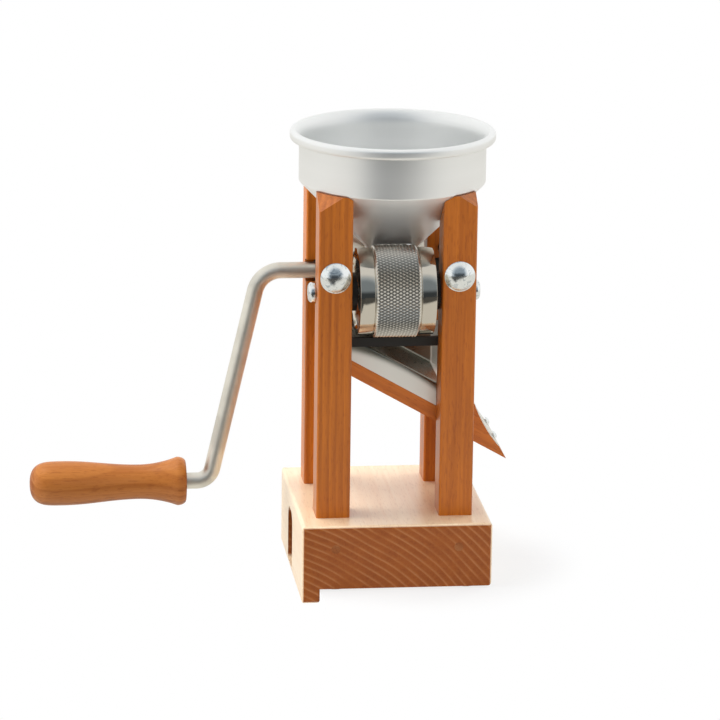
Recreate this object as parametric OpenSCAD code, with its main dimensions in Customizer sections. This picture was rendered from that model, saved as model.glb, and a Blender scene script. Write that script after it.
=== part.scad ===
// Hand cranked grain flaker for a table's edge, in millimetres.
// X runs along the rollers, +X is the outlet's side and -X the crank's.
// Y runs from the front (-Y) to the back, and Z = 0 is the table top under the foot pads.

/* [Base block] */
// Width of the beech block, along the rollers
base_w = 127; // [122:1:140]
// Depth of the block, front to back
base_d = 142; // [138:1:160]
// Height of the block above its underside
base_h = 43; // [36:1:55]
// Radius of the block's rounded edges
base_edge = 2.5; // [1:0.5:4]
// Thickness of the lip that hooks over the table's edge
lip_w = 12; // [8:1:16]
// How far the lip hangs below the underside
lip_h = 10; // [6:1:14]
// Diameter of the foot pads
pad_d = 18; // [12:1:20]
// Thickness of the foot pads
pad_t = 1.2; // [0.8:0.2:3]
// Gap from the block's front and back faces to the pads
pad_inset = 3; // [2:1:8]
// Gap from the block's right face to the pads
pad_right = 7.5; // [3:0.5:12]
// Gap from the lip to the pads
pad_left = 2; // [1:0.5:6]

/* [Clamp slot] */
// Width of the slot that takes the arm of a screw clamp
slot_w = 27; // [18:1:32]
// Height of the slot above the underside
slot_h = 32; // [20:1:33]
// How far the slot runs down into the lip
slot_drop = 6.5; // [3:0.5:8]
// Depth of the slot from the lip's outer face
slot_deep = 50; // [30:1:60]
// Radius of the slot's corners
slot_r = 9; // [3:0.5:10]
// Offset of the slot behind the middle of the block
slot_y = 8; // [0:1:12]

/* [Posts] */
// Side of the square posts
post_s = 22.5; // [20:0.5:25]
// Clear width between the posts, along the rollers
post_gap_x = 59.5; // [59:0.5:61]
// Clear depth between the front and back posts
post_gap_y = 57.5; // [54:0.5:59]
// Radius of the posts' rounded edges
post_edge = 1.6; // [0.6:0.2:3]
// Side of the square tenons
tenon_s = 14; // [10:1:16]
// Length of the tenons
tenon_l = 32; // [24:1:34]
// Glue gap round the tenons
tenon_gap = 0.1; // [0.05:0.05:0.3]
// Diameter of the pegs that pin the tenons
peg_d = 6; // [4:1:8]
// How far the pegs reach beyond the tenons
peg_past = 6; // [3:1:10]
// Height of the pegs above the block's underside
peg_h = 27.4; // [20:0.2:32]
// Width of the post tops' flat crest outside the hopper's wall
crest_w = 1.2; // [0.6:0.2:3]
// Slope of the bevel on the posts' outer top corners, in degrees
crest_slope = 42; // [30:1:55]

/* [Rollers] */
// Height of both roller axes above the block
axis_h = 149.8; // [140:0.2:160]
// Height of the post tops above the roller axes
post_rise = 68.2; // [66:0.2:72]
// Diameter over the points of the knurled bands
knurl_d = 61; // [58:0.5:62]
// Width of the knurled bands
knurl_w = 29.4; // [24:0.2:34]
// Depth of the diamond knurl
knurl_deep = 0.8; // [0.4:0.1:1.2]
// Rows of points round a band
knurl_rows = 82; // [60:2:90]
// Columns of points across a band
knurl_cols = 14; // [10:1:15]
// Width of the bevel at each side of a band
knurl_bevel = 1; // [0.6:0.2:2]
// Diameter of the polished flanks
flank_d = 58; // [54:0.5:59]
// Width over both flanks
roller_w = 50.4; // [48:0.2:51]
// Bevel of the flanks' outer edges
flank_bevel = 1; // [0.4:0.2:2]
// Gap between the two bands
nip = 0.4; // [0.2:0.1:1.2]

/* [Axles and bushes] */
// Diameter of the front roller's axle
axle_d = 8; // [6:0.5:10]
// Diameter of the steel bar that is shaft, arm and grip spindle
bar_d = 11; // [9:0.5:11.5]
// Outer diameter of the bushes in the posts
bush_d = 15; // [14.5:0.5:17]
// How far the bushes end short of the posts' outer faces
bush_short = 6; // [0:0.5:10]
// Diameter of the bush flanges beside the rollers
flange_d = 25.4; // [20:0.2:28]
// Radial running clearance of every turning piece on its pin
run_gap = 0.05; // [0.02:0.01:0.08]
// Side clearance of every turning piece
side_gap = 0.3; // [0.2:0.1:0.6]
// Diameter of the push-on caps on the front axle
cap_d = 13.4; // [12:0.2:15]
// Height of the push-on caps
cap_h = 4.6; // [4:0.2:7]
// Wall of the push-on caps
cap_wall = 1; // [0.6:0.1:1.6]

/* [Crank] */
// Distance from the shaft's axis to the grip's axis
crank_throw = 146.4; // [130:1:160]
// Distance from the posts to the shaft's upper bend corner
shaft_reach = 31; // [26:1:40]
// Lean of the arm away from the posts, in degrees
arm_lean = 12.9; // [6:0.1:18]
// Centre line radius of the upper bend
bend_high_r = 18; // [12:1:22]
// Centre line radius of the lower bend
bend_low_r = 11; // [9:1:13]
// Distance from the lower bend's corner to the grip
grip_gap = 16.2; // [14:0.2:24]
// How much thinner the bar is drawn in its bends
bend_thin = 0.06; // [0.05:0.01:0.3]
// Length of the turned beech grip
grip_l = 105.7; // [95:0.1:120]
// Diameter of the grip's flat end next to the crank
grip_lip_d = 26.4; // [22:0.2:30]
// Diameter of the grip's flare
grip_flare_d = 33; // [31:0.5:36]
// Diameter of the grip's waist
grip_waist_d = 23.4; // [21:0.2:26]
// Diameter of the grip's belly
grip_belly_d = 30; // [27:0.5:34]
// Distance of the grip's widest flare from its crank end
grip_flare_at = 5.8; // [4:0.1:9]
// Distance of the grip's waist from its crank end
grip_waist_at = 31.7; // [25:0.1:38]
// Distance of the grip's belly from its crank end
grip_belly_at = 83.5; // [76:0.1:88]
// Length of the spindle inside the grip
spindle_l = 88; // [70:1:92]
// Width of the snap ring that keeps the grip on
ring_w = 1.6; // [1:0.1:2.4]
// Depth of the snap ring's groove
ring_bite = 0.8; // [0.5:0.1:1.2]
// How far the snap ring stands out of its groove
ring_out = 1.4; // [0.8:0.1:2]
// Distance of the snap ring from the spindle's end
ring_at = 5; // [3:0.5:8]

/* [Hopper] */
// Outer diameter of the hopper's wall
wall_d = 124.2; // [122:0.2:128]
// Height of the straight wall below the rim
wall_h = 27.3; // [20:0.1:40]
// How far the rim bead stands out beyond the wall
rim_out = 6.2; // [5:0.1:9]
// How far the mouth's edge lies outside the wall
mouth_out = 2.6; // [2:0.1:3]
// Height of the rim bead
rim_h = 7; // [5:0.5:9]
// How far the mouth's flare reaches down below the rim bead
flare_drop = 3; // [2:0.5:5]
// Thickness of the aluminium sheet
hopper_t = 1.2; // [0.8:0.1:1.6]
// Angle of the cone's side from the vertical, in degrees
cone_angle = 44.6; // [43:0.2:46]
// Outer diameter of the spout above the knurled bands
spout_d = 29.4; // [26:0.2:32]
// Gap between the spout's saddles and the rollers
saddle_gap = 0.7; // [0.5:0.1:1.2]
// Height of the spout's tongues above the roller axes
tongue_h = 11; // [10:0.5:14]
// Gap between the hopper's cone and the post tops
seat_gap = 0.3; // [0.2:0.1:0.6]
// How far the hopper and its seat lie off the middle, towards the outlet
hopper_x = 1.6; // [0:0.2:2]

/* [Chute] */
// Slope of the chute, in degrees
chute_slope = 29.4; // [28:0.2:31]
// Thickness of the beech chute board
board_t = 22.5; // [20:0.5:24]
// How far the board's nose stands out beyond the posts
nose_out = 25.5; // [22:0.5:32]
// How far the nose's tip lies below the roller axes
nose_drop = 117.6; // [116:0.2:122]
// Slope of the nose, in degrees
nose_slope = 60; // [55:1:66]
// Hollow of the nose's face
nose_hollow = 1.6; // [0.4:0.2:2.4]
// How far the board reaches in between the left posts
board_in = 12; // [9:0.5:16]
// Thickness of the steel liner
liner_t = 0.9; // [0.6:0.1:1.2]
// Height of the liner's front apron on the board
apron_h = 12.9; // [8:0.1:18]
// Length of the liner's leg on the nose
nose_leg = 35; // [28:1:38]
// Gap between the rollers and the liner's back guard
guard_gap = 5; // [4:0.5:8]
// How far the back guard laps over the right back post
guard_lap = 9.5; // [7:0.5:12]

/* [Wiper strips] */
// Thickness of the black strips that wipe the rollers from below
wiper_t = 3; // [2:0.5:4]
// Height of the wiper strips
wiper_h = 6; // [4:0.5:8]
// Gap between the wiper strips and the knurled bands
wiper_gap = 0.6; // [0.3:0.1:1.2]
// Distance of the wiper strips from the middle faces of the posts
wiper_inset = 1.8; // [1:0.2:3]
// How far the wiper strips are let into the posts
wiper_in = 4; // [2:0.5:6]

/* [Fasteners] */
// Diameter of the carriage bolts that draw the posts together
bolt_d = 8; // [6:1:8]
// Height of the bolts above the roller axes
bolt_rise = 14.3; // [13:0.1:18]
// Diameter of the domed bolt heads
head_d = 20.4; // [16:0.2:21]
// Height of the domed bolt heads
head_h = 4.6; // [3.6:0.2:5.4]
// Depth of the square necks under the heads
neck_h = 4.6; // [3:0.2:6]
// Clearance round the bolts in the posts
bolt_gap = 0.25; // [0.1:0.05:0.5]
// Diameter of the washers
washer_d = 20; // [16:1:22]
// Thickness of the washers
washer_t = 1.6; // [1:0.2:2.4]
// Height of a wing nut's hub
hub_h = 9; // [7:0.5:12]
// Span of a wing nut
wing_span = 38; // [30:1:42]
// Thread that stands out behind a wing nut
thread_out = 5; // [2:1:10]
// Diameter of a wing nut's hub at the washer
hub_d = 16; // [13:0.5:18]
// Radius of a wing nut's ears
ear_r = 5; // [3.5:0.5:6]
// Thickness of a wing nut's ears
wing_t = 3; // [2:0.5:4]
// Diameter of the liner's screws
screw_d = 3; // [2:0.5:4]
// Length of the liner's screws
screw_l = 8; // [6:0.5:8.5]
// Diameter of the liner's screw heads
screw_head_d = 6; // [5:0.5:7]
// Height of the liner's screw heads
screw_head_h = 1.4; // [1:0.1:2]
// Distance of the liner's screws from its ends
screw_inset = 6; // [4:0.5:9]
// Distance of the nose's screws from the middle
screw_y = 17.2; // [12:0.2:22]

/* [Hidden] */

beech = "#a9693a";
beech_end = "#8f5a2e";
beech_pale = "#e9cfae";
steel = "#b9b7b0";
zinc = "#c8d0d0";
black = "#1b1b1b";
aluminium = "#cdcfcd";

// Circles are drawn with this many sides where they come through as true rounds
fine = 96;
// Cutting solids run past what they cut by this much
past = 1;

// Levels and places that follow from the sizes above
base_top = pad_t + base_h;
post_x = (post_gap_x + post_s) / 2;
post_y = (post_gap_y + post_s) / 2;
in_x = post_gap_x / 2;
in_y = post_gap_y / 2;
out_x = in_x + post_s;
out_y = in_y + post_s;
axis_z = base_top + axis_h;
post_top = axis_z + post_rise;
axis_y = (knurl_d + nip) / 2;
bolt_z = axis_z + bolt_rise;

// Gap round a bush or wiper strip in its notch, and between the folded liner and the wood beside it
bush_gap = 0.05;
sheet_gap = 0.15;

// Small roundings: the bends of spun sheet and the edges of hems and caps
sheet_bend = 1;
fine_edge = 0.4;

// A point on the circle of radius r at the angle a
function polar(r, a) = [r * cos(a), r * sin(a)];

// The vector v at length 1
function unit(v) = v / norm(v);

// An anticlockwise outline with each corner rounded to its own radius
function rounded(corners, radii, n = 6) = [
    for (i = [0:len(corners) - 1])
        let (
            p = corners[i],
            r = radii[i],
            a = unit(corners[(i + len(corners) - 1) % len(corners)] - p),
            b = unit(corners[(i + 1) % len(corners)] - p),
            half = acos(a * b) / 2,
            turn = cross(-a, b) > 0 ? 1 : -1,
            middle = unit(a + b),
            centre = p + middle * r / sin(half),
            facing = atan2(-middle[1], -middle[0])
        )
        for (k = [0:r > 0 ? n : 0])
            r > 0 ? centre + polar(r, facing + turn * (90 - half) * (2 * k / n - 1)) : p];

// An arc from p to q whose middle stands s to the left of the straight line
function bow(p, q, s, n = 10) =
    let (
        d = unit(q - p),
        left = [-d[1], d[0]],
        chord = norm(q - p),
        r = (chord * chord / 4 + s * s) / (2 * s),
        centre = (p + q) / 2 + left * (s - r),
        facing = atan2(left[1], left[0]),
        half = asin(chord / 2 / r)
    )
    [for (k = [0:n]) centre + polar(r, facing + half * (1 - 2 * k / n))];

// Stands an outline of X and Z upright and gives it the depth h, centred on Y = 0
module along_y(h) rotate([90, 0, 0]) linear_extrude(h, center = true) children();

// Stands an outline of Y and Z upright and draws it out along X, from x0 to x1
module along_x(x0, x1) translate([x0, 0, 0]) rotate([90, 0, 90]) linear_extrude(x1 - x0) children();

// A cylinder along X, from x0 to x1, round the axis through y and z
module bar_x(x0, x1, d, y, z, sides = fine) translate([x0, y, z]) rotate([0, 90, 0])
    cylinder(d = d, h = x1 - x0, $fn = sides);

// A cylinder along Y, from y0 to y1, round the axis through x and z
module bar_y(y0, y1, d, x, z) translate([x, y1, z]) rotate([90, 0, 0])
    cylinder(d = d, h = y1 - y0, $fn = fine);

// Copies the children to all four posts' quarters, from the right back one
module quarters() for (sx = [0, 1], sy = [0, 1]) mirror([sx, 0, 0]) mirror([0, sy, 0]) children();

// Base block with mortises, peg holes, the lip and the clamp's slot
module base_block() color(beech_pale) difference() {
    intersection() {
        along_y(base_d) block_section();
        translate([0, 0, pad_t - lip_h]) linear_extrude(base_h + lip_h)
            polygon(rounded(box_corners(base_w / 2, -base_d / 2, base_d / 2), [for (i = [0:3]) base_edge]));
        along_x(-base_w / 2, base_w / 2)
            polygon(rounded(box_corners(base_d / 2, pad_t - lip_h, base_top), [for (i = [0:3]) base_edge]));
    }
    quarters() translate([post_x, post_y, base_top + past - (tenon_l + past) / 2])
        cube([tenon_s + 2 * tenon_gap, tenon_s + 2 * tenon_gap, tenon_l + past], center = true);
    quarters() peg();
    along_x(-base_w / 2 - past, -base_w / 2 + slot_deep) slot_section();
}

// Corners of a rectangle that is centred on 0 across, from low to high
function box_corners(half, low, high) = [[-half, low], [half, low], [half, high], [-half, high]];

module block_section() {
    x = base_w / 2;
    step = -x + lip_w;
    polygon(rounded(
        [[-x, pad_t - lip_h], [step, pad_t - lip_h], [step, pad_t], [x, pad_t],
            [x, base_top], [-x, base_top]],
        [base_edge, base_edge, 0, base_edge, base_edge, base_edge]));
}

module slot_section() translate([slot_y, 0])
    polygon(rounded(box_corners(slot_w / 2, pad_t - slot_drop, pad_t + slot_h),
        [slot_r / 2, slot_r / 2, slot_r, slot_r]));

// One peg, driven in from the block's back face through the right back tenon
module peg() bar_y(post_y - tenon_s / 2 - peg_past, base_d / 2, peg_d, post_x, pad_t + peg_h);

module tenon_pegs() color(beech_end) quarters() peg();

module foot_pads() color(black)
    for (x = [lip_w + pad_left - base_w / 2 + pad_d / 2, base_w / 2 - pad_right - pad_d / 2])
        for (sy = [-1, 1]) translate([x, sy * (base_d / 2 - pad_inset - pad_d / 2), 0])
            cylinder(d = pad_d, h = pad_t, $fn = fine);

// The right back post: square, with a tenon, a notch for the bush and a top cut to the hopper
module post(side = 1, neck = false) difference() {
    union() {
        translate([0, 0, base_top]) linear_extrude(post_top - base_top) translate([post_x, post_y])
            polygon(rounded(box_corners(post_s / 2, -post_s / 2, post_s / 2), [for (i = [0:3]) post_edge]));
        translate([post_x - tenon_s / 2, post_y - tenon_s / 2, base_top - tenon_l])
            cube([tenon_s, tenon_s, tenon_l + past]);
    }
    along_x(in_x - past, out_x + past) bush_section(bush_d + 2 * bush_gap, past);
    bar_y(in_y - past, out_y + past, bolt_d + 2 * bolt_gap, post_x, bolt_z);
    if (neck) translate([post_x, out_y - neck_h / 2, bolt_z])
        cube([bolt_d, neck_h + 2 * bolt_gap, bolt_d], center = true);
    peg();
    chute_dowel(side);
    wiper(bush_gap);
    translate([side * hopper_x, 0, 0]) {
        hopper_seat();
        rotate([0, 0, atan2(post_y, post_x)]) translate([wall_d / 2 + crest_w, -post_s, post_top])
            rotate([0, crest_slope, 0]) cube(2 * post_s);
    }
}

// The room that the hopper's cone and wall take in the post tops
module hopper_seat() rotate_extrude($fn = fine)
    polygon([[0, post_top - wall_d / 2 / tan(cone_angle)], [wall_d / 2, post_top],
        [wall_d / 2, post_top + past], [0, post_top + past]]);

module front_left_post() color(beech) mirror([1, 0, 0]) mirror([0, 1, 0]) post(-1, neck = true);
module front_right_post() color(beech) mirror([0, 1, 0]) post(neck = true);
module back_left_post() color(beech) mirror([1, 0, 0]) post(-1);
module back_right_post() color(beech) post();

// A half round bush outline that opens towards the gap between the posts
module bush_section(d, over = 0) {
    translate([axis_y, axis_z]) circle(d = d, $fn = fine);
    translate([in_y - over, axis_z - d / 2]) square([axis_y - in_y + over, d]);
}

// A flanged bush in the right back post's notch, open at the front so that the axle snaps in
module bush(bore) difference() {
    union() {
        along_x(in_x, out_x - bush_short) bush_section(bush_d);
        bar_x(roller_w / 2 + side_gap, in_x, flange_d, axis_y, axis_z);
    }
    bar_x(0, out_x + past, bore + 2 * run_gap, axis_y, axis_z);
    mouth = 2 * sqrt(pow(bore / 2 + run_gap, 2) - pow(axis_y - in_y, 2));
    translate([0, axis_y - flange_d, axis_z - mouth / 2]) cube([in_x, flange_d, mouth]);
}

module front_left_bush() color(black) mirror([1, 0, 0]) mirror([0, 1, 0]) bush(axle_d);
module front_right_bush() color(black) mirror([0, 1, 0]) bush(axle_d);
module back_left_bush() color(black) mirror([1, 0, 0]) bush(bar_d);
module back_right_bush() color(black) bush(bar_d);

// The strip under the rear roller, let into notches of the back posts that are larger by gap
wiper_z = axis_z - knurl_d / 2 - wiper_gap - wiper_h;
module wiper(gap = 0) translate([-in_x - wiper_in - gap, in_y + wiper_inset - gap, wiper_z - gap])
    cube([post_gap_x + 2 * (wiper_in + gap), wiper_t + 2 * gap, wiper_h + 2 * gap]);

module roller_wipers() color(black) for (sy = [0, 1]) mirror([0, sy, 0]) wiper();

// The chute board's outline: nose tip, nose top and the lines through them
nose = [out_x + nose_out, axis_z - nose_drop];
rise = board_t / cos(chute_slope);
nose_back = rise / (tan(nose_slope) - tan(chute_slope));
nose_top = nose + nose_back * [-1, tan(nose_slope)];
leg_end = nose_top + nose_leg * [cos(nose_slope), -sin(nose_slope)];
board_end = -(in_x + board_in);
left_dowel_x = in_x + board_in / 2;

// Height of the board's underside at x
function under(x) = nose[1] + (nose[0] - x) * tan(chute_slope);

module chute_board() color(beech) difference() {
    along_y(post_gap_y) polygon(concat(
        [[board_end, under(board_end)], nose],
        bow(leg_end, nose_top, nose_hollow),
        [[board_end, under(board_end) + rise]]));
    chute_dowels();
    nose_screws(screw_d);
    floor_screw(screw_d);
}

// A dowel between the board and a back post, where side 1 is the right and -1 the left,
// drawn on the right side and mirrored by its caller
module chute_dowel(side) {
    x = side > 0 ? post_x : in_x + board_in / 2;
    bar_y(in_y - post_s / 2, in_y + post_s / 2, peg_d, x, under(side * x) + rise / 2);
}

module chute_dowels() color(beech_end) for (sy = [0, 1]) mirror([0, sy, 0]) {
    chute_dowel(1);
    mirror([1, 0, 0]) chute_dowel(-1);
}

// Folded steel liner: a floor with a leg on the nose, a front apron and a back guard
module chute_liner() color(steel) difference() {
    union() {
        along_y(post_gap_y - 2 * sheet_gap) liner_strip(-apron_x, nose_top[0]);
        translate([0, -in_y - liner_t / 2, 0]) along_y(liner_t) apron();
        translate([0, sheet_gap - in_y - liner_t / 2, 0]) along_y(liner_t + 2 * sheet_gap) apron(0);
        translate([0, in_y - liner_t / 2, 0]) along_y(liner_t) guard();
    }
    nose_screws(screw_d);
    floor_screw(screw_d);
}

apron_x = in_x - sheet_gap;
floor_normal = [sin(chute_slope), cos(chute_slope)];
nose_normal = [sin(nose_slope), cos(nose_slope)];

// Height of the board's top at x
function over(x) = under(x) + rise;

module liner_strip(x0, x1) {
    start = [x0, over(x0)];
    half = (nose_slope - chute_slope) / 2;
    corner = nose_top + unit(floor_normal + nose_normal) * liner_t / cos(half);
    polygon([start, nose_top, leg_end, leg_end + nose_normal * liner_t, corner,
        start + floor_normal * liner_t]);
}

// The apron hangs between the front posts, from the floor's top down by h over the board's face;
// with h = 0 it is the fold that joins it to the floor
module apron(h = apron_h) intersection() {
    translate([-apron_x, 0]) square([2 * apron_x, post_top]);
    translate([0, over(0)]) rotate(-chute_slope) translate([-post_gap_x, -h])
        square([2 * post_gap_x, h + liner_t]);
}

guard_top = axis_z - knurl_d / 2 - guard_gap;
guard_right = in_x + guard_lap;

// The guard rises from the floor to under the rear roller
module guard() polygon(rounded(
    [[nose[0] - (guard_top - nose[1] - rise) / tan(chute_slope), guard_top], [guard_right, over(guard_right)],
        [guard_right, guard_top]], [0, 0, guard_lap / 2]));

// Screw places: two on the nose's leg and one at the floor's top end
module on_nose() for (sy = [-1, 1]) translate([0, sy * screw_y, 0])
    at_face(leg_end - screw_inset * [cos(nose_slope), -sin(nose_slope)], nose_slope) children();
module on_floor() at_face([-in_x + screw_inset, over(-in_x + screw_inset)], chute_slope) children();

// Places children on a face of the board that falls to the right, with Z along its normal
module at_face(p, slope) translate([p[0], 0, p[1]]) rotate([0, slope, 0]) translate([0, 0, liner_t])
    children();

module screw_hole(d) translate([0, 0, -screw_l]) cylinder(d = d, h = screw_l + past, $fn = fine);
module nose_screws(d) on_nose() screw_hole(d);
module floor_screw(d) on_floor() screw_hole(d);

// A small pan head screw whose head rests on the liner
module screw() {
    translate([0, 0, -screw_l]) cylinder(d = screw_d, h = screw_l, $fn = fine);
    dome(screw_head_d, screw_head_h);
}

module liner_screws() color(zinc) {
    on_nose() screw();
    on_floor() screw();
}

// A spherical cap of diameter d and height h that stands on Z = 0
module dome(d, h) {
    r = (d * d / 4 + h * h) / (2 * h);
    intersection() {
        translate([0, 0, h - r]) sphere(r = r, $fn = fine);
        cylinder(d = d, h = h, $fn = fine);
    }
}

// Carriage bolts from the front posts' faces to behind the back posts
bolt_end = out_y + washer_t + hub_h + thread_out;
module carriage_bolts() color(zinc) for (sx = [-1, 1]) {
    bar_y(-out_y, bolt_end, bolt_d, sx * post_x, bolt_z);
    translate([sx * post_x, -out_y + neck_h / 2, bolt_z]) cube([bolt_d, neck_h, bolt_d], center = true);
    translate([sx * post_x, -out_y, bolt_z]) rotate([90, 0, 0]) dome(head_d, head_h);
}

module bolt_washers() color(zinc) for (sx = [-1, 1]) difference() {
    bar_y(out_y, out_y + washer_t, washer_d, sx * post_x, bolt_z);
    bar_y(out_y - past, out_y + washer_t + past, bolt_d + 2 * bolt_gap, sx * post_x, bolt_z);
}

// A wing nut with a tapered hub and two leaning wings that stand above and below it, along Y
module wing_nut() translate([post_x, out_y + washer_t + run_gap, bolt_z]) rotate([-90, 0, 0]) difference() {
    union() {
        cylinder(d1 = hub_d, d2 = (hub_d + bolt_d) / 2, h = hub_h, $fn = fine);
        for (turn = [90, 270]) rotate([0, 0, turn]) rotate([90, 0, 0])
            linear_extrude(wing_t, center = true) wing();
    }
    translate([0, 0, -past]) cylinder(d = bolt_d + 2 * run_gap, h = 2 * past + hub_h + 2 * ear_r, $fn = fine);
}

// One wing's outline: a stem that leans out from inside the hub to a round ear
module wing() {
    ear = [wing_span / 2 - ear_r, hub_h + ear_r / 2];
    foot = bolt_d / 2 + past / 2;
    translate(ear) circle(r = ear_r, $fn = fine);
    polygon([[foot, fine_edge], [hub_d / 2, fine_edge], ear + polar(ear_r, -40), ear + polar(ear_r, 130),
        [foot, hub_h - fine_edge]]);
}

module left_wing_nut() color(zinc) mirror([1, 0, 0]) wing_nut();
module right_wing_nut() color(zinc) wing_nut();

// Front roller on its own axle, with a push-on cap at each end
cap_x = out_x + side_gap;
module front_axle() color(steel)
    bar_x(-cap_x - cap_h + cap_wall, cap_x + cap_h - cap_wall, axle_d, -axis_y, axis_z);

// A push-on cap, round the X axis through the right back quarter's roller axis
module push_cap(d, bore) translate([cap_x, axis_y, axis_z]) rotate([0, 90, 0]) difference() {
    rotate_extrude($fn = fine) polygon(rounded(
        [[0, 0], [d / 2, 0], [d / 2, cap_h], [0, cap_h]], [0, fine_edge, 0.7 * cap_h, 0]));
    translate([0, 0, -past]) cylinder(d = bore, h = past + cap_h - cap_wall, $fn = fine);
}

module front_axle_caps() color(zinc) for (sx = [0, 1]) mirror([sx, 0, 0]) mirror([0, 1, 0])
    push_cap(cap_d, axle_d);
module shaft_cap() color(zinc) push_cap(bar_d + 4 * cap_wall, bar_d);

// A polished roller with bevelled rims, round the axis at y
module roller(bore, y) translate([0, y, axis_z]) rotate([0, 90, 0]) rotate_extrude($fn = fine)
    polygon([[bore / 2, -roller_w / 2], [flank_d / 2 - flank_bevel, -roller_w / 2],
        [flank_d / 2, -roller_w / 2 + flank_bevel], [flank_d / 2, roller_w / 2 - flank_bevel],
        [flank_d / 2 - flank_bevel, roller_w / 2], [bore / 2, roller_w / 2]]);

module front_roller() color(steel) roller(axle_d, -axis_y);
module rear_roller() color(steel) roller(bar_d, axis_y);

// A sleeve with a diamond knurl. Its points stand on a lattice of columns along X and steps
// round the axis, where every other place is high, so that each high point tops a pyramid
steps = 2 * round(knurl_rows);
function high(col, step) = (col + step) % 2 == 0;
function ring(x, radii) = [for (s = [0:steps - 1]) concat(x, polar(radii[s % 2], 360 * s / steps))];
function face(a, b, c, d, split) = split ? [[a, b, d], [b, c, d]] : [[a, b, c], [a, c, d]];

module knurl(y) {
    top = knurl_d / 2;
    low = top - knurl_deep;
    rim = (low + flank_d / 2) / 2;
    span = knurl_w - 2 * knurl_bevel;
    columns = [for (col = [0:knurl_cols - 1])
        ring(-span / 2 + span * col / (knurl_cols - 1), high(col, 0) ? [top, low] : [low, top])];
    points = [for (r = concat([ring(-knurl_w / 2, [rim, rim])], columns, [ring(knurl_w / 2, [rim, rim])]))
        for (p = r) p];
    last = knurl_cols + 1;
    sides = [for (r = [0:last - 1], s = [0:steps - 1])
        let (next = (s + 1) % steps, a = r * steps + s, b = r * steps + next)
            for (f = face(a, b, b + steps, a + steps, high(r - 1, s))) f];
    difference() {
        translate([0, y, axis_z]) polyhedron(points, concat(sides,
            [[for (s = [steps - 1:-1:0]) s], [for (s = [0:steps - 1]) last * steps + s]]));
        bar_x(-knurl_w, knurl_w, flank_d, y, axis_z, 4 * fine);
    }
}

module front_knurl() color(steel) knurl(-axis_y);
module rear_knurl() color(steel) knurl(axis_y);

// The bar's corner points in X and Z: shaft end, upper corner, lower corner and spindle end
grip_z = axis_z - crank_throw;
high_corner = [-out_x - shaft_reach, axis_z];
low_corner = high_corner - crank_throw * [tan(arm_lean), 1];
grip_x = low_corner[0] - grip_gap;
arm_way = [sin(arm_lean), cos(arm_lean)];
high_trim = bend_high_r * tan((90 - arm_lean) / 2);
low_trim = bend_low_r * tan((90 - arm_lean) / 2);

// A straight length of the bar between two points in X and Z, lapping a little into its bends
bend_lap = 0.05;
module straight(p, q) translate([p[0], 0, p[1]]) rotate([0, atan2(q[0] - p[0], q[1] - p[1]), 0])
    translate([0, 0, -bend_lap]) cylinder(d = bar_d, h = norm(q - p) + 2 * bend_lap, $fn = fine);

// A bend of the bar round a centre in X and Z, anticlockwise from the angle start
module bend(centre, r, start) translate([centre[0], 0, centre[1]]) rotate([90, 0, 0]) rotate([0, 0, start])
    rotate_extrude(angle = 90 - arm_lean, $fn = fine) translate([r, 0])
        circle(d = bar_d - bend_thin, $fn = fine);

// One bar, bent to shaft, arm and spindle
module crank_bar() color(steel) difference() {
    translate([0, axis_y, 0]) {
        straight([cap_x + cap_h - cap_wall, axis_z], high_corner + [high_trim, 0]);
        bend(high_corner + [high_trim, -bend_high_r], bend_high_r, 90);
        straight(high_corner - high_trim * arm_way, low_corner + low_trim * arm_way);
        bend(low_corner + [-low_trim, bend_low_r], bend_low_r, -90);
        straight(low_corner - [low_trim, 0], [grip_x - spindle_l, grip_z]);
    }
    snap_ring(past);
}

// Snap ring in the spindle's groove, standing out of it by out
ring_x = grip_x - spindle_l + ring_at;
module snap_ring(out) difference() {
    bar_x(ring_x, ring_x + ring_w, bar_d + 2 * out, axis_y, grip_z);
    bar_x(ring_x - past, ring_x + ring_w + past, bar_d - 2 * ring_bite, axis_y, grip_z);
}

module grip_ring() color(steel) snap_ring(ring_out);

// Radius of the turned grip at the distance s from its crank end
function grip_r(s) =
    s < grip_flare_at ? grip_lip_d / 2
        + (grip_flare_d - grip_lip_d) / 2 * sqrt(1 - pow(1 - s / grip_flare_at, 2)) :
    s < grip_waist_at ? grip_waist_d / 2 + (grip_flare_d - grip_waist_d) / 2
        * pow((grip_waist_at - s) / (grip_waist_at - grip_flare_at), 2) :
    s < grip_belly_at ? (grip_waist_d + grip_belly_d) / 4 - (grip_belly_d - grip_waist_d) / 4
        * cos(180 * (s - grip_waist_at) / (grip_belly_at - grip_waist_at)) :
    grip_belly_d / 2 * pow(max(0, 1 - pow((s - grip_belly_at) / (grip_l - grip_belly_at), 4)), 0.4);

module crank_grip() color(beech) translate([grip_x, axis_y, grip_z]) rotate([0, -90, 0]) difference() {
    n = 44;
    rotate_extrude($fn = fine) polygon(concat([[0, 0]],
        [for (i = [0:n]) let (s = grip_l * (1 - cos(180 * i / n)) / 2) [grip_r(s), s]]));
    translate([0, 0, -past]) cylinder(d = bar_d + 2 * run_gap, h = spindle_l + 2 * past, $fn = fine);
    translate([0, 0, grip_x - ring_x - ring_w - side_gap])
        cylinder(d = bar_d + 2 * (ring_out + side_gap), h = ring_w + 2 * side_gap, $fn = fine);
}

// Hopper of one spun sheet: a hemmed rim, a straight wall, a cone and a saddled spout
shoulder_z = post_top + seat_gap / sin(cone_angle);
rim_z = shoulder_z + wall_h;
spout_z = shoulder_z - (wall_d - spout_d) / 2 / tan(cone_angle);
inner_lift = hopper_t * (1 / cos(cone_angle) - 1) / tan(cone_angle);

module hopper() color(aluminium) difference() {
    translate([hopper_x, 0, 0]) rotate_extrude($fn = fine) polygon(hopper_section());
    for (y = [-axis_y, axis_y])
        bar_x(-wall_d, wall_d, knurl_d + 2 * saddle_gap, y, axis_z);
}

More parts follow.
